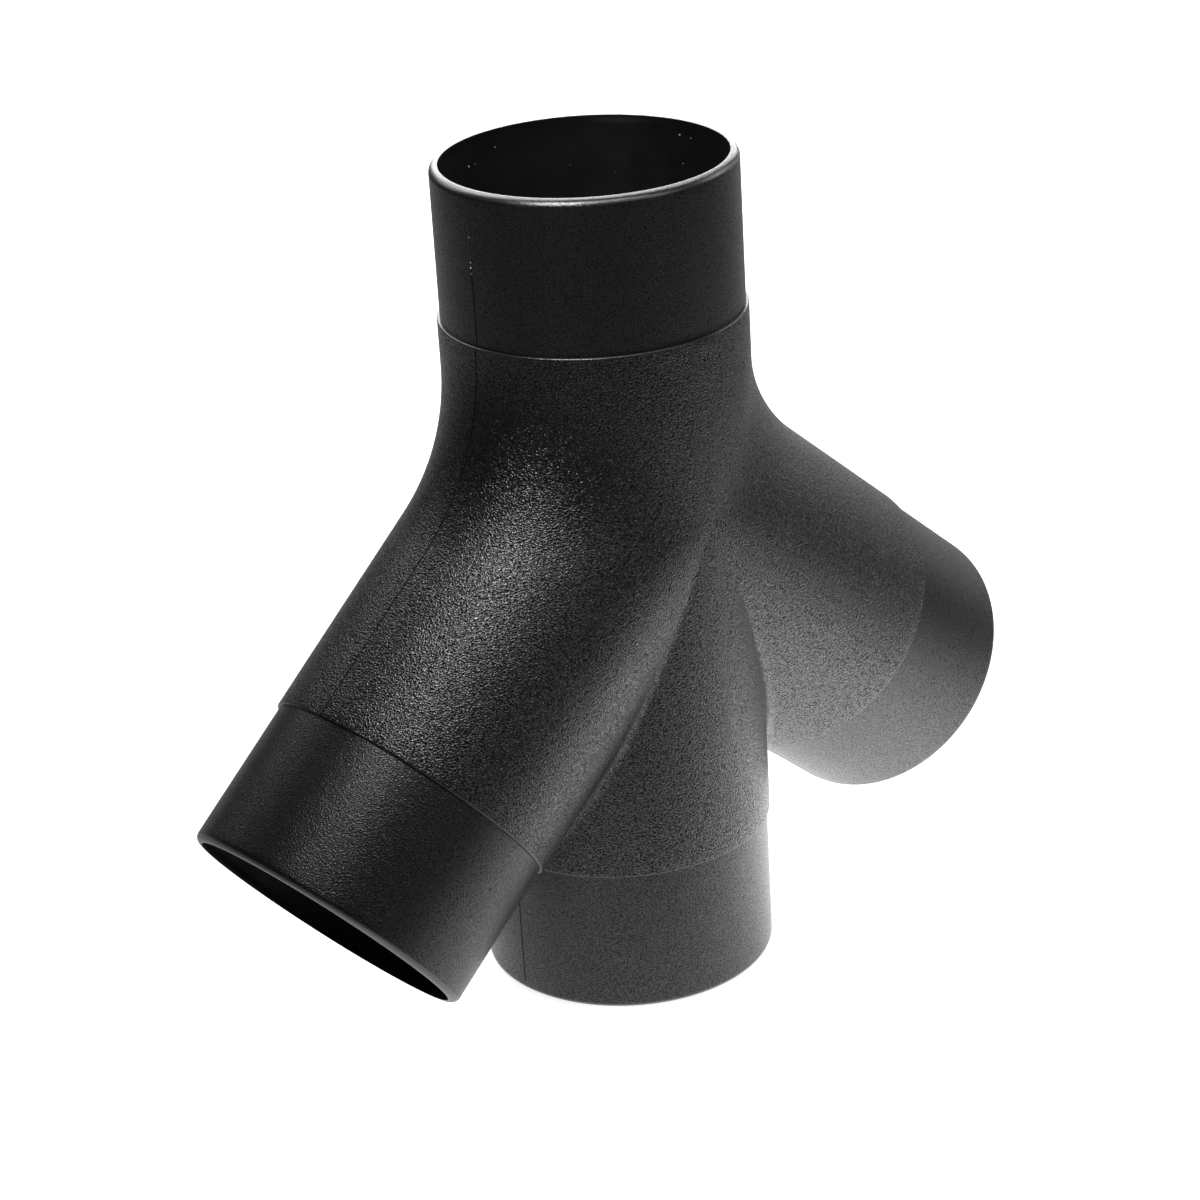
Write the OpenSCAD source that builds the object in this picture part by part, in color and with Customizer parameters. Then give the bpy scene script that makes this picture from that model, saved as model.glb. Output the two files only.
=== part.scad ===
// Three-way duct connector: one blow-moulded plastic branch piece.
// One inlet at the top feeds a straight outlet and two side outlets, all in one plane.
// The origin is the centre of the straight outlet's open end, and the side branches lie along X.

/* [Spigots] */
// Outside diameter of every spigot, which a duct slips over
spigot_d = 100; // [80:1:150]
// Length of every spigot, from the step to its open end
spigot_len = 51; // [30:1:90]
// Height of the step from a spigot up to the body, where a duct stops
step_h = 1; // [0.6:0.1:1.2]
// Radius that rounds the outside edge of every open end
lip_r = 2.5; // [1.5:0.1:4]
// Width of the flat land between that round and the trimmed opening
lip_land = 0.5; // [0.2:0.1:1.5]

/* [Branches] */
// Angle between a side branch and the straight outlet
branch_angle = 50; // [40:1:65]
// Radius of the sweep from the inlet into the outside of a side branch
sweep_r = 78; // [30:1:110]
// Radius of the blend in the crotch between two outlets
crotch_r = 5; // [3:0.5:12]
// Straight stretch between the sweeps and the inlet's step
inlet_neck = 2.8; // [1:0.1:30]
// Straight stretch between a crotch and the steps of its outlets
outlet_neck = 1; // [0.8:0.1:30]

/* [Moulding] */
// Thickness of the moulded wall
wall = 2.3; // [1.8:0.1:3]
// Bevel on the body's edge at each step
step_bevel = 0.4; // [0.1:0.1:0.5]
// Colour of the plastic
plastic = "#1b1b1c"; // ["#1b1b1c":black, "#55585c":grey, "#e9e9e6":white]

/* [Hidden] */

spigot_r = spigot_d / 2;
body_r = spigot_r + step_h;
// Directions of the tubes, as angles turned from straight up towards +X
up_angle = 0;
right_angle = 180 - branch_angle;
down_angle = 180;
left_angle = 180 + branch_angle;
full_angle = 360;
// How far along a tube the blends reach from the point where the tubes' centrelines meet
sweep_reach = (body_r + sweep_r) / tan((right_angle - up_angle) / 2);
crotch_reach = (body_r + crotch_r) / tan(branch_angle / 2);
// Distances from that point to the steps
inlet_len = sweep_reach + inlet_neck;
outlet_len = max(sweep_reach, crotch_reach) + outlet_neck;
meeting_z = spigot_len + outlet_len;

// Each tube by its direction and its length to the step
INLET = [up_angle, inlet_len];
RIGHT = [right_angle, outlet_len];
STRAIGHT = [down_angle, outlet_len];
LEFT = [left_angle, outlet_len];
TUBES = [INLET, RIGHT, STRAIGHT, LEFT];

// Each corner by the two tubes beside it, the radius that blends them, and its blend's facets
CORNERS = [
    [INLET, RIGHT, sweep_r, 13],
    [RIGHT, STRAIGHT, crotch_r, 8],
    [STRAIGHT, LEFT, crotch_r, 8],
    [LEFT, [full_angle, inlet_len], sweep_r, 13],
];

// Facets from the front of a tube round to its back
HALF_TURN = 40;
$fn = 80;

function direction(angle) = [sin(angle), 0, cos(angle)];

// Out from a tube's centreline: turn 0 is the front, 90 the side and 180 the back
function outward(side, turn) = side * sin(turn) - [0, cos(turn), 0];

// Part of the way round from one unit vector to another
function between(from, to, share) =
    let (angle = acos(max(-1, min(1, from * to))))
    angle < 0.01 ? from : (from * sin((1 - share) * angle) + to * sin(share * angle)) / sin(angle);

// A ball of the blend radius that rolls between two tubes stays this far along both of them from the meeting point
function ball_along(corner, turn) =
    (body_r + corner[2]) * sin(turn) / tan((corner[1][0] - corner[0][0]) / 2);

// Where that ball's surface faces the tubes, as one arc. It is the outside at depth 0, and the inside at
// depth wall, which keeps the ball's centre and adds the wall to its radius.
function blend_arc(corner, turn, depth) =
    let (
        from = outward(direction(corner[0][0] + 90), turn),
        to = outward(direction(corner[1][0] - 90), turn),
        foot = direction(corner[0][0]) * ball_along(corner, turn),
        centre = foot + from * (body_r + corner[2]),
        facets = corner[3]
    )
    [for (i = [0:facets])
        turn % 180 == 0
            ? outward([0, 0, 0], turn) * (body_r - depth)
            : centre - between(from, to, i / facets) * (corner[2] + depth)];

// A tube's end beside a corner, at a distance from its step and a depth below its surface
function tube_end(tube, side, turn, back, depth) =
    direction(tube[0]) * (tube[1] - back) + outward(side, turn) * (body_r - depth);

// The wall's closed outline round one corner: along one tube, through the blend, and back inside
function corner_outline(corner, turn) =
    let (
        a = corner[0],
        b = corner[1],
        side_a = direction(a[0] + 90),
        side_b = direction(b[0] - 90),
        inside = blend_arc(corner, turn, wall)
    )
    concat(
        [tube_end(a, side_a, turn, 0, step_bevel), tube_end(a, side_a, turn, step_bevel, 0)],
        blend_arc(corner, turn, 0),
        [tube_end(b, side_b, turn, step_bevel, 0), tube_end(b, side_b, turn, 0, step_bevel)],
        [tube_end(b, side_b, turn, 0, wall)],
        [for (i = [len(inside) - 1:-1:0]) inside[i]],
        [tube_end(a, side_a, turn, 0, wall)]
    );

// Facets that join one outline to the next, leaving out those that shrink to a line
function facets_between(first, second) = [
    for (i = [0:len(first) - 1])
        let (next = (i + 1) % len(first))
        for (facet = [
            [first[i], second[next], first[next]],
            [first[i], second[i], second[next]],
        ])
            if (norm(facet[0] - facet[1]) > 0.001
                && norm(facet[1] - facet[2]) > 0.001
                && norm(facet[2] - facet[0]) > 0.001)
                facet
];

// The blended body: the walls round the four corners meet along its front and its back
module body_shell() {
    facets = [
        for (corner = CORNERS)
            let (outlines = [for (i = [0:HALF_TURN]) corner_outline(corner, 180 * i / HALF_TURN)])
            for (i = [1:HALF_TURN])
                each facets_between(outlines[i - 1], outlines[i])
    ];
    polyhedron(
        points = [for (facet = facets) each facet],
        faces = [for (i = [0:len(facets) - 1]) [3 * i, 3 * i + 1, 3 * i + 2]]
    );
}

// Half section of a spigot, with the step at y = 0: it starts a wall's thickness inside the body
module spigot_section() {
    round_y = spigot_len - lip_r;
    translate([spigot_r - wall, -wall])
        square([wall, wall + round_y]);
    intersection() {
        translate([spigot_r - lip_r, round_y])
            circle(lip_r, $fn = 32);
        translate([spigot_r - lip_r, round_y])
            square(lip_r);
    }
    translate([spigot_r - lip_r - lip_land, round_y])
        square([lip_land, lip_r]);
}

module spigot() {
    rotate_extrude()
        spigot_section();
}

module duct_branch() {
    color(plastic) {
        translate([0, 0, meeting_z]) {
            body_shell();
            for (tube = TUBES)
                rotate([0, tube[0], 0])
                    translate([0, 0, tube[1]])
                        spigot();
        }
    }
}

duct_branch();
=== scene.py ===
"""A three-way duct connector, blow-moulded in black polyethylene, shown on white as in its photograph.

The moulding's sizes are in millimetres, and every mesh is in metres. The piece stands on the open end of its
straight outlet, with the inlet straight up and the side branches along X.
"""

import math

import bmesh
import bpy
import numpy as np
from mathutils import Matrix, Vector


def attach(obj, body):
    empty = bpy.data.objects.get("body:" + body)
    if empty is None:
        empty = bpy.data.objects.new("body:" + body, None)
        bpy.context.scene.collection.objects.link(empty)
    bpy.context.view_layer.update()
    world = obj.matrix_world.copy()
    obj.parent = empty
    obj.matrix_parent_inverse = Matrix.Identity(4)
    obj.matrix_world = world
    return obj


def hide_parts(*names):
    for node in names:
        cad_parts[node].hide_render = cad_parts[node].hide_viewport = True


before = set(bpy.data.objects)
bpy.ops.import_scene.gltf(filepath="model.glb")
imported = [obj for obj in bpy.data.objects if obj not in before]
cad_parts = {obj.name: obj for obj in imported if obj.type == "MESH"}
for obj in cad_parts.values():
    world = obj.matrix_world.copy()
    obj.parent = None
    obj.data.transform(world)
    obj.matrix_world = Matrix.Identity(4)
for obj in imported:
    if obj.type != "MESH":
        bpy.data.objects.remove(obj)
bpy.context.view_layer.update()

# Sizes of the moulding, in millimetres
SPIGOT_R = 50.0
SPIGOT_LENGTH = 51.0
STEP = 1.0
BODY_R = SPIGOT_R + STEP
WALL = 2.3
BORE_R = SPIGOT_R - WALL
LIP_R = 2.5
LIP_LAND = 0.5
EDGE_R = 0.5
BRANCH_ANGLE = math.radians(50)
SWEEP_R = 78.0
CROTCH_R = 5.0
INLET_NECK = 2.8
OUTLET_NECK = 1.0

INLET_LENGTH = (BODY_R + SWEEP_R) / math.tan((math.pi - BRANCH_ANGLE) / 2) + INLET_NECK
OUTLET_LENGTH = (BODY_R + CROTCH_R) / math.tan(BRANCH_ANGLE / 2) + OUTLET_NECK
MEETING_Z = SPIGOT_LENGTH + OUTLET_LENGTH

# Each tube by its direction, turned from straight up towards +X, and its length to the step
INLET = (0.0, INLET_LENGTH)
RIGHT = (math.pi - BRANCH_ANGLE, OUTLET_LENGTH)
STRAIGHT = (math.pi, OUTLET_LENGTH)
LEFT = (math.pi + BRANCH_ANGLE, OUTLET_LENGTH)
TUBES = (INLET, RIGHT, STRAIGHT, LEFT)

# Each corner by the two tubes beside it and the radius that blends them
CORNERS = (
    (INLET, RIGHT, SWEEP_R),
    (RIGHT, STRAIGHT, CROTCH_R),
    (STRAIGHT, LEFT, CROTCH_R),
    (LEFT, (2 * math.pi, INLET_LENGTH), SWEEP_R),
)

# Flats round the whole of a tube, and the facets of each blend outside and inside
ROUND = 192
OUTER_FACETS = {SWEEP_R: 32, CROTCH_R: 20}
INNER_FACETS = {SWEEP_R: 16, CROTCH_R: 12}
SIDE_ON = math.pi / 2


def direction(angle):
    return np.array([math.sin(angle), 0.0, math.cos(angle)])


def outward(side, turn):
    """Out from a tube's centreline: turn 0 is the front, a quarter turn the side and a half turn the back."""
    return side * math.sin(turn) - np.array([0.0, math.cos(turn), 0.0])


def between(a, b, share):
    """Part of the way round from one unit vector to another."""
    angle = math.acos(max(-1.0, min(1.0, float(a @ b))))
    if angle < 1e-6:
        return a
    return (a * math.sin((1 - share) * angle) + b * math.sin(share * angle)) / math.sin(angle)


def by_tube(tube, turn, height, radius):
    """A place by a tube: its turn in degrees, its height above the step and its distance from the centreline."""
    angle, length = tube
    out = outward(direction(angle + SIDE_ON), math.radians(turn))
    return direction(angle) * (length + height) + out * radius


def step_outside():
    """The outside of a step as (distance back, depth) pairs: up its face and over the rounded edge."""
    quarter = [k * math.pi / 12 for k in range(7)]
    return [(0.0, STEP)] + [(EDGE_R * (1 - math.cos(t)), EDGE_R * (1 - math.sin(t))) for t in quarter]


def step_inside():
    """The same step on the inside, which the blown wall draws out softly over a few millimetres."""
    shares = [k / 4 for k in range(5)]
    return [(WALL + 3.0 * s, WALL + STEP * (1 - s * s * (3 - 2 * s))) for s in shares]


def corner_line(corner, turn, ends, depth, runs, facets):
    """One line of the wall's surface round a corner, from the step of one tube to the step of the next."""
    a, b, radius = corner
    foot = (BODY_R + radius) * math.sin(turn) / math.tan((b[0] - a[0]) / 2)
    out_a = outward(direction(a[0] + SIDE_ON), turn)
    out_b = outward(direction(b[0] - SIDE_ON), turn)

    def tube_side(tube, out):
        start = ends[-1][0]
        reach = tube[1] - foot - start
        stations = ends + [(start + reach * k / runs, depth) for k in range(1, runs)]
        return [direction(tube[0]) * (tube[1] - back) + out * (BODY_R - below) for back, below in stations]

    ball = direction(a[0]) * foot + out_a * (BODY_R + radius)
    arc = [ball - between(out_a, out_b, k / facets) * (radius + depth) for k in range(facets + 1)]
    return tube_side(a, out_a) + arc + tube_side(b, out_b)[::-1]


def to_world(points):
    """Points about the meeting point in millimetres, as points in metres that stand on the floor."""
    return [Vector((p + np.array([0.0, 0.0, MEETING_Z])) / 1000) for p in points]


def add_node(tree, kind, links=None, **settings):
    """Adds a node, sets its properties, and gives its sockets, by name or number, a value or a link."""
    node = tree.nodes.new(kind)
    for name, value in settings.items():
        setattr(node, name, value)
    for name, source in (links or {}).items():
        if isinstance(source, bpy.types.NodeSocket):
            tree.links.new(source, node.inputs[name])
        else:
            node.inputs[name].default_value = source
    return node


def linear(colour):
    """An sRGB hex colour as the linear RGBA that a socket holds."""
    values = [int(colour[i:i + 2], 16) / 255 for i in (1, 3, 5)]
    return tuple(v / 12.92 if v <= 0.04045 else ((v + 0.055) / 1.055) ** 2.4 for v in values) + (1.0,)


def polyethylene(name, colour, grain_mm, relief_mm, tops, hollows):
    """Black polyethylene with the grain of the mould's wall in it.

    Tops and hollows each give a roughness and a specular level: the tops are rubbed smooth and shine, and the
    hollows are matt and see little light.
    """
    material = bpy.data.materials.new(name)
    material.use_nodes = True
    tree = material.node_tree
    shader = tree.nodes["Principled BSDF"]
    shader.inputs["Base Color"].default_value = linear(colour)
    shader.inputs["IOR"].default_value = 1.51
    place = add_node(tree, "ShaderNodeTexCoord")
    cells = add_node(tree, "ShaderNodeVectorMath",
                     {0: place.outputs["Object"], 1: [1000 / size for size in grain_mm]}, operation="MULTIPLY")
    grain = add_node(tree, "ShaderNodeTexNoise", {"Vector": cells.outputs["Vector"], "Scale": 1.0, "Detail": 1.0})
    for socket, hollow, top in zip(("Roughness", "Specular IOR Level"), hollows, tops):
        if hollow == top:
            shader.inputs[socket].default_value = top
            continue
        level = add_node(tree, "ShaderNodeMapRange", {
            "Value": grain.outputs["Fac"], "From Min": 0.32, "From Max": 0.66, "To Min": hollow, "To Max": top})
        tree.links.new(level.outputs["Result"], shader.inputs[socket])
    bump = add_node(tree, "ShaderNodeBump",
                    {"Height": grain.outputs["Fac"], "Strength": 1.0, "Distance": relief_mm / 1000})
    tree.links.new(bump.outputs["Normal"], shader.inputs["Normal"])
    return material


# High-density polyethylene with carbon black, blow-moulded: near black, with the soft sheen of a waxy plastic.
# The body's mould wall is coarsely spark-eroded, and breaks the sheen into short leathery strokes. The real
# grain is about 0.4 mm and as long as it is wide. It is drawn longer on the level, because the light from
# above shows it so, and a little larger, so that it still shows in the render.
coarse = polyethylene("polyethylene_coarse_grain", "#060607", (0.66, 0.66, 0.48), 0.33, (0.20, 1.0), (0.42, 0.06))
# The spigots' mould wall is finely eroded, so a duct slides on: the same sheen, almost even.
fine = polyethylene("polyethylene_fine_grain", "#060607", (0.55, 0.55, 0.42), 0.17, (0.27, 0.80), (0.42, 0.20))
# The inside never touches the mould and stays as blown: smooth and a little glossier.
as_blown = polyethylene("polyethylene_as_blown", "#0e0e0f", (9.0, 9.0, 9.0), 0.10, (0.34, 0.5), (0.40, 0.5))
# The lips and the steps' edges are rounded off and rubbed even: a soft bright band under the overhead light.
rubbed = polyethylene("polyethylene_rubbed_edge", "#0c0c0d", (0.60, 0.60, 0.44), 0.10, (0.31, 1.0), (0.33, 0.95))
# Where the mould's halves close, they pinch the wall into a thin smooth line.
pinched = polyethylene("polyethylene_pinched", "#0c0c0d", (1.5, 1.5, 1.5), 0.03, (0.26, 0.7), (0.34, 0.5))
# The same line painted in shade, dark and matt, for where its ridge turns from the light, as on the body.
painted_shade_seam = polyethylene("polyethylene_torn", "#050505", (1.5, 1.5, 1.5), 0.03, (0.70, 0.08), (0.80, 0.05))
# Crumbs of flash and trimming turn pale where the plastic is stretched.
stretched = polyethylene("polyethylene_stretched_pale", "#8c8c8e", (0.4, 0.4, 0.4), 0.05, (0.45, 0.5), (0.60, 0.4))
MATERIALS = (coarse, fine, as_blown, rubbed)


def body_mesh():
    """The body's outside and inside, open at the rings where the spigots join on."""
    skins = (
        (coarse, step_outside(), 0.0, 16, OUTER_FACETS),
        (as_blown, step_inside(), WALL, 8, INNER_FACETS),
    )
    verts, faces, finishes = [], [], []
    turns = [math.pi * k / (ROUND // 2) for k in range(ROUND // 2 + 1)]
    for corner in CORNERS:
        for material, ends, depth, runs, facets in skins:
            lines = [corner_line(corner, turn, ends, depth, runs, facets[corner[2]]) for turn in turns]
            count = len(lines[0])
            edge = [MATERIALS.index(rubbed if material is coarse else material)] * (len(ends) - 1)
            strip = edge + [MATERIALS.index(material)] * (count - 1 - 2 * len(edge)) + edge
            for line in lines:
                start = len(verts)
                verts += to_world(line)
                if line is not lines[0]:
                    faces += [(p, p + 1, p + 1 - count, p - count) for p in range(start, start + count - 1)]
                    finishes += strip
    mesh = bpy.data.meshes.new("body")
    mesh.from_pydata(verts, [], faces)
    mesh.polygons.foreach_set("material_index", finishes)
    return mesh


def new_tree(name, sockets):
    """A geometry tree with a geometry in and out and named inputs, and its group input and output nodes."""
    tree = bpy.data.node_groups.new(name, "GeometryNodeTree")
    tree.interface.new_socket("Geometry", in_out="INPUT", socket_type="NodeSocketGeometry")
    for label, kind in sockets.items():
        tree.interface.new_socket(label, in_out="INPUT", socket_type=kind)
    tree.interface.new_socket("Geometry", in_out="OUTPUT", socket_type="NodeSocketGeometry")
    return tree, tree.nodes.new("NodeGroupInput").outputs, tree.nodes.new("NodeGroupOutput")


def finish_tree(tree, geometry, material, out):
    """Ends a geometry tree with plain geometry in one material."""
    real = add_node(tree, "GeometryNodeRealizeInstances", {"Geometry": geometry})
    finished = add_node(tree, "GeometryNodeSetMaterial", {"Geometry": real.outputs["Geometry"], "Material": material})
    tree.links.new(finished.outputs["Geometry"], out.inputs["Geometry"])
    return finished


def grown(name, data, tree, values):
    """The plain mesh that a geometry tree makes of some starting data and its inputs' values."""
    carrier = bpy.data.objects.new(name, data)
    bpy.context.scene.collection.objects.link(carrier)
    modifier = carrier.modifiers.new(name, "NODES")
    modifier.node_group = tree
    sockets = {s.name: s.identifier for s in tree.interface.items_tree if s.in_out == "INPUT"}
    for label, value in values.items():
        modifier[sockets[label]] = value
    evaluated = carrier.evaluated_get(bpy.context.evaluated_depsgraph_get())
    mesh = bpy.data.meshes.new_from_object(evaluated)
    bpy.data.objects.remove(carrier)
    return mesh


def line_curve(name, lines):
    """A curve with one open line of straight stretches for each list of points."""
    curve = bpy.data.curves.new(name, "CURVE")
    curve.dimensions = "3D"
    for points in lines:
        spline = curve.splines.new("POLY")
        spline.points.add(len(points) - 1)
        for point, place in zip(spline.points, points):
            point.co = (*place, 1.0)
    return curve


def spigot_profile():
    """Half section of a spigot as (radius less SPIGOT_R, height above the step): outside, lip, trimmed end, bore."""
    top = SPIGOT_LENGTH
    points = [(0.0, top * k / 10) for k in range(10)]
    points += [
        (-LIP_R * (1 - math.cos(t)), top - LIP_R * (1 - math.sin(t)))
        for t in (k * math.pi / 20 for k in range(11))
    ]
    mouth = -LIP_R - LIP_LAND
    points += [(mouth, top), (mouth, top - 0.5), (mouth + 0.15, top - 1.3), (mouth + 0.5, top - 2.3), (-WALL, top - 3.4)]
    points += [(-WALL, top - 3.4 - (top - 3.4 + WALL) * k / 8) for k in range(1, 9)]
    return points


def spigot_tree():
    """Turns a half section round into a spigot and sets one on each end of the body."""
    tree, given, out = new_tree("Spigots on every end", {
        "Half section": "NodeSocketObject", "Radius": "NodeSocketFloat", "Flats": "NodeSocketInt",
        "Material": "NodeSocketMaterial"})
    section = add_node(tree, "GeometryNodeObjectInfo", {"Object": given["Half section"]})
    ring = add_node(tree, "GeometryNodeCurvePrimitiveCircle", {"Resolution": given["Flats"], "Radius": given["Radius"]})
    level = add_node(tree, "GeometryNodeSetCurveNormal", {"Curve": ring.outputs["Curve"]}, mode="Z_UP")
    turned = add_node(tree, "GeometryNodeCurveToMesh",
                      {"Curve": level.outputs["Curve"], "Profile Curve": section.outputs["Geometry"]})
    tilt = add_node(tree, "GeometryNodeInputNamedAttribute", {"Name": "tilt"}, data_type="FLOAT_VECTOR")
    turn = add_node(tree, "FunctionNodeEulerToRotation", {"Euler": tilt.outputs["Attribute"]})
    placed = add_node(tree, "GeometryNodeInstanceOnPoints",
                      {"Points": given["Geometry"], "Instance": turned.outputs["Mesh"], "Rotation": turn.outputs["Rotation"]})
    finish_tree(tree, placed.outputs["Instances"], given["Material"], out)
    return tree


def spigots_mesh():
    """The four spigots, whose first and last rings are the rings that the body is open at."""
    section = bpy.data.objects.new("half section", line_curve("half section", [
        [(x / 1000, -y / 1000, 0.0) for x, y in spigot_profile()]]))
    bpy.context.scene.collection.objects.link(section)
    ends = bpy.data.meshes.new("ends")
    ends.from_pydata(to_world([direction(angle) * length for angle, length in TUBES]), [], [])
    tilt = ends.attributes.new("tilt", "FLOAT_VECTOR", "POINT")
    tilt.data.foreach_set("vector", [x for angle, _ in TUBES for x in (0.0, angle, 0.0)])
    mesh = grown("spigots", ends, spigot_tree(), {
        "Half section": section, "Radius": SPIGOT_R / 1000, "Flats": ROUND, "Material": fine})
    bpy.data.objects.remove(section)
    return mesh


def spigot_finish(face):
    """The finish of a spigot's face: as blown where it looks in, rubbed over the lip, or else finely grained."""
    centre = np.array(face.calc_center_median()) * 1000 - np.array([0.0, 0.0, MEETING_Z])
    tube = max(TUBES, key=lambda tube: float(centre @ direction(tube[0])))
    along = float(centre @ direction(tube[0]))
    out = centre - direction(tube[0]) * along
    if float(out @ np.array(face.normal)) < -1.0:
        return as_blown
    return rubbed if along > tube[1] + SPIGOT_LENGTH - LIP_R * 0.75 else fine


# Pinholes that trapped air left in the wall: the tube, and the turn and height on its spigot
PINHOLES = ((INLET, -21.2, 40.3), (LEFT, 63.4, 21.7))
PINHOLE_R = 0.42
PINHOLE_DEPTH = 0.6


def pinhole(work, place):
    """Sinks a small round pit into the face at a place on a spigot."""
    face = min(work.faces, key=lambda f: (f.calc_center_median() - place).length)
    corners = [v.co for v in face.verts]
    across, up = corners[1] - corners[0], corners[3] - corners[0]
    offset = place - face.calc_center_median()
    margins = [edge.length / 2 - PINHOLE_R * 1.1 / 1000 for edge in (across, up)]
    centre = face.calc_center_median()
    for edge, margin in zip((across, up), margins):
        centre += edge.normalized() * max(-margin, min(margin, offset.dot(edge.normalized())))
    angles = [math.radians(225 + 45 * k) for k in range(8)]
    spokes = [(across.normalized() * math.cos(t) + up.normalized() * math.sin(t)) / 1000 for t in angles]
    rim = [work.verts.new(centre + spoke * PINHOLE_R) for spoke in spokes]
    sink = face.normal * PINHOLE_DEPTH / 1000
    floor = [work.verts.new(centre + spoke * PINHOLE_R * 0.6 - sink) for spoke in spokes]
    outer = list(face.verts)
    material = face.material_index
    bmesh.ops.delete(work, geom=[face], context="FACES_ONLY")
    made = [work.faces.new(floor)]
    for k in range(4):
        n = (k + 1) % 4
        made.append(work.faces.new((outer[k], outer[n], rim[2 * n], rim[2 * k + 1], rim[2 * k])))
    for k in range(8):
        n = (k + 1) % 8
        made.append(work.faces.new((rim[k], rim[n], floor[n], floor[k])))
    for new_face in made:
        new_face.material_index = material
        new_face.smooth = True


def moulding():
    """The whole wall as one closed skin, with its materials by place."""
    mesh = body_mesh()
    work = bmesh.new()
    work.from_mesh(mesh)
    body_faces = len(work.faces)
    work.from_mesh(spigots_mesh())
    bmesh.ops.remove_doubles(work, verts=work.verts, dist=2e-6)
    bmesh.ops.recalc_face_normals(work, faces=work.faces)
    work.faces.ensure_lookup_table()
    for index, face in enumerate(work.faces):
        face.smooth = True
        if index >= body_faces:
            face.material_index = MATERIALS.index(spigot_finish(face))
    for tube, turn, height in PINHOLES:
        pinhole(work, to_world([by_tube(tube, turn, height, SPIGOT_R)])[0])
    bmesh.ops.recalc_face_normals(work, faces=work.faces)
    open_edges = sum(1 for edge in work.edges if not edge.is_manifold)
    if open_edges:
        raise RuntimeError(f"the skin has {open_edges} open edges")
    work.to_mesh(mesh)
    work.free()
    for material in MATERIALS:
        mesh.materials.append(material)
    mesh.set_sharp_from_angle(angle=math.radians(35))
    return mesh


def piece(name, mesh):
    """A finished piece that rides on the part's one body."""
    obj = bpy.data.objects.new(name, mesh)
    bpy.context.scene.collection.objects.link(obj)
    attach(obj, "root")
    return obj


shell = piece("duct_connector_moulding", moulding())
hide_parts("duct_branch")

# The parting line: the bead's radius, and how deep its centre lies under the surface
SEAM_R = 0.26
SEAM_SINK = 0.15


def seam_ends():
    """The parting line's stations up over a step's rounded edge, as (distance back, depth) pairs."""
    inner = EDGE_R - SEAM_SINK
    quarter = [k * math.pi / 8 for k in range(5)]
    return [(SEAM_SINK, STEP)] + [(EDGE_R - inner * math.cos(t), EDGE_R - inner * math.sin(t)) for t in quarter]


def seam_on_spigot(tube, turn, low, high):
    """The parting line up a spigot between two heights, sunk a little deeper at its ends."""
    radius = SPIGOT_R - SEAM_SINK
    ends = [(low, radius - SEAM_SINK), (low + 1.5, radius), (high - 1.5, radius), (high, radius - SEAM_SINK)]
    return to_world([by_tube(tube, turn, height, across) for height, across in ends])


def seam_tree():
    """Runs a bead of uneven thickness along lines."""
    tree, given, out = new_tree("Bead along lines", {
        "Radius": "NodeSocketFloat", "Spacing": "NodeSocketFloat", "Unevenness": "NodeSocketFloat",
        "Wave": "NodeSocketFloat", "Seed": "NodeSocketFloat", "Sides": "NodeSocketInt", "Material": "NodeSocketMaterial"})
    even = add_node(tree, "GeometryNodeResampleCurve", {"Curve": given["Geometry"], "Length": given["Spacing"]}, mode="LENGTH")
    wave = add_node(tree, "ShaderNodeTexNoise", {"Scale": given["Wave"], "W": given["Seed"]}, noise_dimensions="4D")
    swell = add_node(tree, "ShaderNodeMapRange", {
        "Value": wave.outputs["Fac"], "From Min": 0.3, "From Max": 0.7,
        "To Min": add_node(tree, "ShaderNodeMath", {0: 1.0, 1: given["Unevenness"]}, operation="SUBTRACT").outputs[0],
        "To Max": add_node(tree, "ShaderNodeMath", {0: 1.0, 1: given["Unevenness"]}, operation="ADD").outputs[0]})
    section = add_node(tree, "GeometryNodeCurvePrimitiveCircle", {"Resolution": given["Sides"], "Radius": given["Radius"]})
    bead = add_node(tree, "GeometryNodeCurveToMesh", {
        "Curve": even.outputs["Curve"], "Profile Curve": section.outputs["Curve"],
        "Scale": swell.outputs["Result"], "Fill Caps": True})
    finish_tree(tree, bead.outputs["Mesh"], given["Material"], out)
    return tree


def parting_line(name, lines, material):
    """Lines where the mould's halves met, in the plane of the branches, as one bead of a finish."""
    return grown(name, line_curve(name, lines), seam_tree(), {
        "Radius": SEAM_R / 1000, "Spacing": 0.8 / 1000, "Unevenness": 0.12, "Wave": 180.0, "Seed": 7.0,
        "Sides": 8, "Material": material})


# The line is painted in shade, dark and matt, round the body, up the inlet's lower half and down the straight outlet,
# and keeps its smooth sheen elsewhere
SEAM_SHADE_HEIGHT = 27.5
LIP_START = SPIGOT_LENGTH - LIP_R
shaded_seam_lines = [
    to_world(corner_line(corner, SIDE_ON, seam_ends(), SEAM_SINK, 12, OUTER_FACETS[corner[2]]))
    for corner in CORNERS
] + [
    seam_on_spigot(tube, turn, 0.0, top)
    for tube, top in ((INLET, SEAM_SHADE_HEIGHT), (STRAIGHT, LIP_START)) for turn in (-90, 90)
]
smooth_lines = [
    seam_on_spigot(tube, turn, low, LIP_START)
    for tube, low in ((INLET, SEAM_SHADE_HEIGHT), (LEFT, 0.0), (RIGHT, 0.0)) for turn in (-90, 90)
]
piece("parting_line_dull", parting_line("dull seam", shaded_seam_lines, painted_shade_seam))
piece("parting_line_smooth", parting_line("smooth seam", smooth_lines, pinched))

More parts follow.
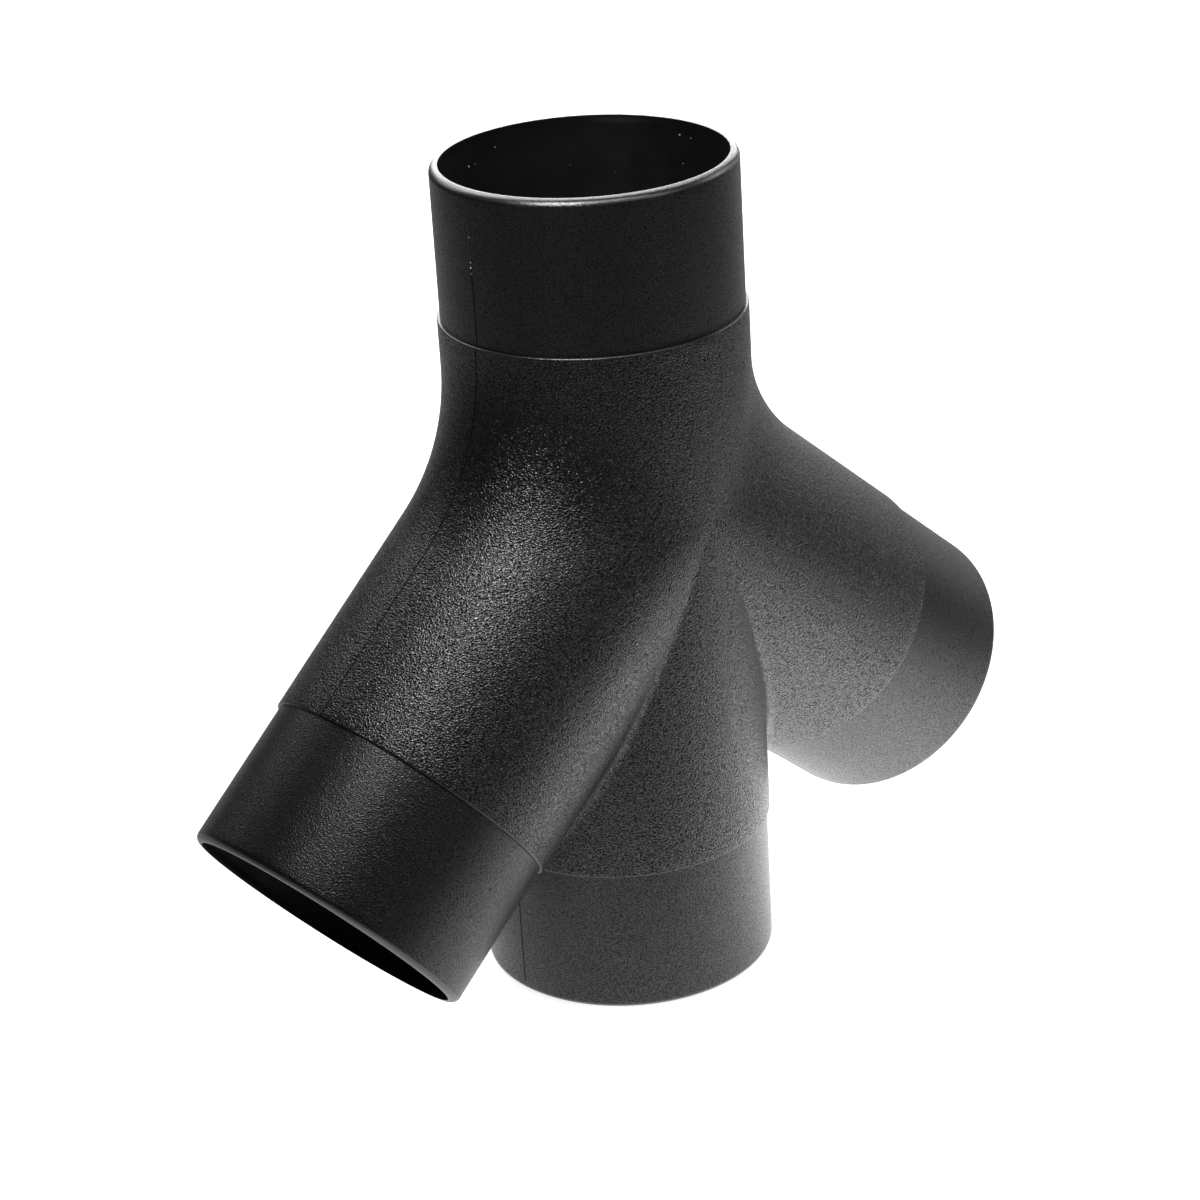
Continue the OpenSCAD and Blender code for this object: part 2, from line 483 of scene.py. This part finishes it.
# Specks of flash and dust by the tube, turn, height and radius where each lies, and its size across
FLASH = (
    (INLET, -90, 36.1, 50.1, 0.75), (INLET, -90, 27.9, 50.1, 0.7), (INLET, -90, 26.2, 50.1, 0.85),
    (INLET, -90, 24.2, 50.1, 0.6), (STRAIGHT, 90, 46.5, 50.1, 0.7), (STRAIGHT, 90, 18.5, 50.1, 0.5),
    (LEFT, 90, -77.0, 51.9, 0.5), (LEFT, -97, 50.3, 49.0, 0.9), (LEFT, -93, 50.3, 49.0, 1.1),
)
DUST = (
    (INLET, -169, 41.0, BORE_R, 0.9), (INLET, -173, 41.0, BORE_R, 0.5), (INLET, 176, 44.5, BORE_R, 0.6),
    (INLET, 96, 45.6, BORE_R, 1.0), (INLET, 90, 45.2, BORE_R, 0.5), (INLET, 95, 35.9, BORE_R, 0.7),
    (INLET, 126, 31.1, BORE_R, 0.4), (INLET, 144, 34.1, BORE_R, 0.4),
)


def crumb_tree():
    """Scatters crumbs of random turn and shape on points that carry their size."""
    tree, given, out = new_tree("Crumbs on points", {
        "Lumpiness": "NodeSocketFloat", "Seed": "NodeSocketInt", "Material": "NodeSocketMaterial"})
    ball = add_node(tree, "GeometryNodeMeshIcoSphere", {"Radius": 0.5, "Subdivisions": 2})
    lumps = add_node(tree, "ShaderNodeTexNoise", {"Scale": 2.2, "W": given["Seed"]}, noise_dimensions="4D")
    centred = add_node(tree, "ShaderNodeVectorMath", {0: lumps.outputs["Color"], 1: (0.5, 0.5, 0.5)}, operation="SUBTRACT")
    moved = add_node(tree, "ShaderNodeVectorMath", {0: centred.outputs[0], "Scale": given["Lumpiness"]}, operation="SCALE")
    crumb = add_node(tree, "GeometryNodeSetPosition", {"Geometry": ball.outputs["Mesh"], "Offset": moved.outputs[0]})
    size = add_node(tree, "GeometryNodeInputNamedAttribute", {"Name": "size"}, data_type="FLOAT")
    stretch = add_node(tree, "FunctionNodeRandomValue", {
        "Min": (0.4, 0.4, 0.4), "Max": (1.0, 1.0, 1.0), "Seed": given["Seed"]}, data_type="FLOAT_VECTOR")
    scale = add_node(tree, "ShaderNodeVectorMath", {0: stretch.outputs["Value"], "Scale": size.outputs["Attribute"]}, operation="SCALE")
    spin = add_node(tree, "FunctionNodeRandomValue", {
        "Min": (0.0, 0.0, 0.0), "Max": (math.tau, math.tau, math.tau), "Seed": given["Seed"]}, data_type="FLOAT_VECTOR")
    turn = add_node(tree, "FunctionNodeEulerToRotation", {"Euler": spin.outputs["Value"]})
    placed = add_node(tree, "GeometryNodeInstanceOnPoints", {
        "Points": given["Geometry"], "Instance": crumb.outputs["Geometry"],
        "Rotation": turn.outputs["Rotation"], "Scale": scale.outputs[0]})
    finish_tree(tree, placed.outputs["Instances"], given["Material"], out)
    return tree


def crumbs(name, places, seed):
    """Crumbs of plastic at places, each half sunk in the surface it lies on."""
    points = bpy.data.meshes.new(name)
    points.from_pydata(to_world([by_tube(*place[:4]) for place in places]), [], [])
    sizes = points.attributes.new("size", "FLOAT", "POINT")
    sizes.data.foreach_set("value", [place[4] / 1000 for place in places])
    return grown(name, points, crumb_tree(), {"Lumpiness": 0.5, "Seed": seed, "Material": stretched})


piece("flash_specks", crumbs("flash", FLASH, 3))
piece("bore_specks", crumbs("dust", DUST, 11))


# The photographer's view, fitted to the tubes' rings and outlines in the photograph
def camera():
    azimuth, elevation, roll = math.radians(-41.497), math.radians(23.711), math.radians(-3.554)
    back = Vector((math.sin(azimuth) * math.cos(elevation), -math.cos(azimuth) * math.cos(elevation), math.sin(elevation)))
    level = Vector((math.cos(azimuth), math.sin(azimuth), 0.0))
    upright = back.cross(level)
    right = math.cos(roll) * level + math.sin(roll) * upright
    up = math.cos(roll) * upright - math.sin(roll) * level
    data = bpy.data.cameras.new("camera")
    data.sensor_width = 36.0
    data.lens = 98.914
    data.clip_start, data.clip_end = 0.05, 50.0
    obj = bpy.data.objects.new("camera", data)
    bpy.context.scene.collection.objects.link(obj)
    place = (back * 1178.28 + right * -12.262 + up * 139.606 - Vector((0, 0, 22.56))) / 1000
    turned = Matrix((right, up, back)).transposed().to_4x4()
    obj.matrix_world = Matrix.Translation(place) @ turned
    bpy.context.scene.camera = obj


camera()


def softbox(name, place, aim, size, watts, colour="#ffffff"):
    """A square soft light at a place, facing a point, both in metres."""
    data = bpy.data.lights.new(name, "AREA")
    data.shape = "RECTANGLE"
    data.size, data.size_y = size
    data.energy = watts
    data.color = linear(colour)[:3]
    obj = bpy.data.objects.new(name, data)
    obj.location = place
    obj.rotation_euler = (Vector(place) - Vector(aim)).to_track_quat("Z", "Y").to_euler()
    obj.visible_camera = False
    bpy.context.scene.collection.objects.link(obj)


CENTRE = (-0.05, -0.02, 0.15)


def around(azimuth, elevation, distance):
    """A place round the piece: azimuth 0 is in front along -Y and 90 is along +X, both angles in degrees."""
    turn, lift = math.radians(azimuth), math.radians(elevation)
    way = Vector((math.sin(turn) * math.cos(lift), -math.cos(turn) * math.cos(lift), math.sin(lift)))
    return Vector(CENTRE) + way * distance


# Soft lights as (name, azimuth, elevation, distance, width, height, watts). The two overhead lights are close:
# the small one lays the sheen on the left branch, and every lip and step catches the strip. The others are
# large and far: they edge the piece from behind and from the right.
LIGHTS = (
    ("overhead_middle", -63, 67, 0.32, 0.10, 0.10, 0.58),
    ("overhead_strip", -30, 63, 0.60, 0.60, 0.10, 1.3),
    ("overhead_back", 142, 56, 0.90, 0.90, 0.35, 5.5),
    ("back", 165, 34, 1.40, 1.40, 0.60, 5.0),
    ("back_right", 135, 14, 1.75, 1.20, 0.50, 12.0),
    ("front_right", 15, 30, 1.95, 0.88, 0.70, 3.6),
    ("right", 78, 24, 1.70, 0.80, 0.60, 4.5),
    ("wall_behind", 120, 1, 1.70, 2.60, 0.35, 2.3),
)
for name, azimuth, elevation, distance, width, height, watts in LIGHTS:
    softbox(name, around(azimuth, elevation, distance), CENTRE, (width, height), watts)


def white_room():
    """A world that is white to the camera, and almost dark as a light."""
    world = bpy.data.worlds.new("white room")
    bpy.context.scene.world = world
    world.use_nodes = True
    tree = world.node_tree
    tree.nodes.clear()
    ray = add_node(tree, "ShaderNodeLightPath")
    light = add_node(tree, "ShaderNodeBackground", {"Color": linear("#ffffff"), "Strength": 0.012})
    seen = add_node(tree, "ShaderNodeBackground", {"Color": linear("#ffffff"), "Strength": 1.0})
    mix = add_node(tree, "ShaderNodeMixShader", {0: ray.outputs["Is Camera Ray"], 1: light.outputs[0], 2: seen.outputs[0]})
    add_node(tree, "ShaderNodeOutputWorld", {"Surface": mix.outputs[0]})


white_room()


# Painted glowing patches on the table, which light the piece but which the camera doesn't see, as (centre, reach in
# metres, strength): a strong one beside the piece, and a faint one under the left outlet's mouth
PAINTED_GLOW_PATCHES = (((0.13, -0.055, 0.0), 0.40, 3.1), ((-0.20, -0.06, 0.0), 0.22, 1.1))


def white_floor():
    """A wide table top: white to the camera but for the piece's soft shadow; to other rays a darker grey with painted
    glowing patches, brightest beside the piece.
    """
    mesh = bpy.data.meshes.new("floor")
    half = 4.0
    mesh.from_pydata([(-half, -half, 0), (half, -half, 0), (half, half, 0), (-half, half, 0)], [], [(0, 1, 2, 3)])
    material = bpy.data.materials.new("white_table")
    material.use_nodes = True
    tree = material.node_tree
    tree.nodes.clear()
    ray = add_node(tree, "ShaderNodeLightPath")
    paint = add_node(tree, "ShaderNodeBsdfDiffuse", {"Color": linear("#e8e8e8")})
    lift = add_node(tree, "ShaderNodeEmission", {"Color": linear("#ffffff"), "Strength": 0.85})
    seen = add_node(tree, "ShaderNodeAddShader", {0: paint.outputs[0], 1: lift.outputs[0]})
    place = add_node(tree, "ShaderNodeTexCoord")
    lit = add_node(tree, "ShaderNodeBsdfDiffuse", {"Color": linear("#a6a6a6")})
    for centre, reach, strength in PAINTED_GLOW_PATCHES:
        away = add_node(tree, "ShaderNodeVectorMath", {0: place.outputs["Object"], 1: centre}, operation="DISTANCE")
        near = add_node(tree, "ShaderNodeMapRange", {
            "Value": away.outputs["Value"], "From Min": 0.0, "From Max": reach, "To Min": 1.0, "To Max": 0.0})
        fade = add_node(tree, "ShaderNodeMath", {0: near.outputs["Result"], 1: 2.0}, operation="POWER")
        glow = add_node(tree, "ShaderNodeMath", {0: fade.outputs[0], 1: strength}, operation="MULTIPLY")
        patch = add_node(tree, "ShaderNodeEmission", {"Color": linear("#ffffff"), "Strength": glow.outputs[0]})
        lit = add_node(tree, "ShaderNodeAddShader", {0: lit.outputs[0], 1: patch.outputs[0]})
    mix = add_node(tree, "ShaderNodeMixShader", {0: ray.outputs["Is Camera Ray"], 1: lit.outputs[0], 2: seen.outputs[0]})
    add_node(tree, "ShaderNodeOutputMaterial", {"Surface": mix.outputs[0]})
    mesh.materials.append(material)
    obj = bpy.data.objects.new("floor", mesh)
    obj.location.z = -0.00002
    bpy.context.scene.collection.objects.link(obj)


white_floor()

bpy.context.scene.view_settings.view_transform = "Standard"
